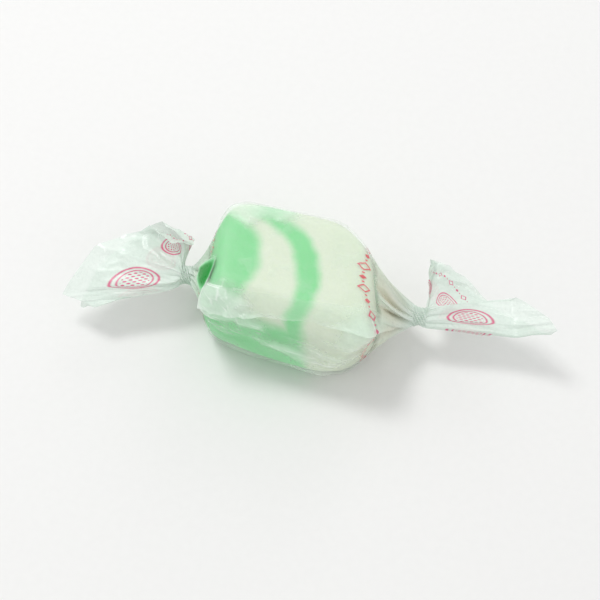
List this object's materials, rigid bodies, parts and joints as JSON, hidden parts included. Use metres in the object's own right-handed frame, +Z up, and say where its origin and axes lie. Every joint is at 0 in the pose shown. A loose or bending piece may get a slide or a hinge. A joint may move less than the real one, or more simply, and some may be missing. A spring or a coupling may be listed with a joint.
{
  "type": "wrapped taffy",
  "caption": "Soft block of striped salt water taffy in a waxed paper wrapper that is twisted at each end and flares into a crumpled tail.",
  "frame": {"origin": "centre of the flat underside that the wrapped sweet rests on", "axes": "+X along the twisted wrapper, towards the end with the longer shoulder; +Y to the back; +Z up"},
  "size_m": [0.0678, 0.0226, 0.016],
  "materials": {
    "taffy": "soft satin sweet, marbled green and cream",
    "waxed_paper": null
  },
  "bodies": {
    "root": {"taffy": "taffy", "wrapper": "waxed_paper"}
  },
  "joints": []
}
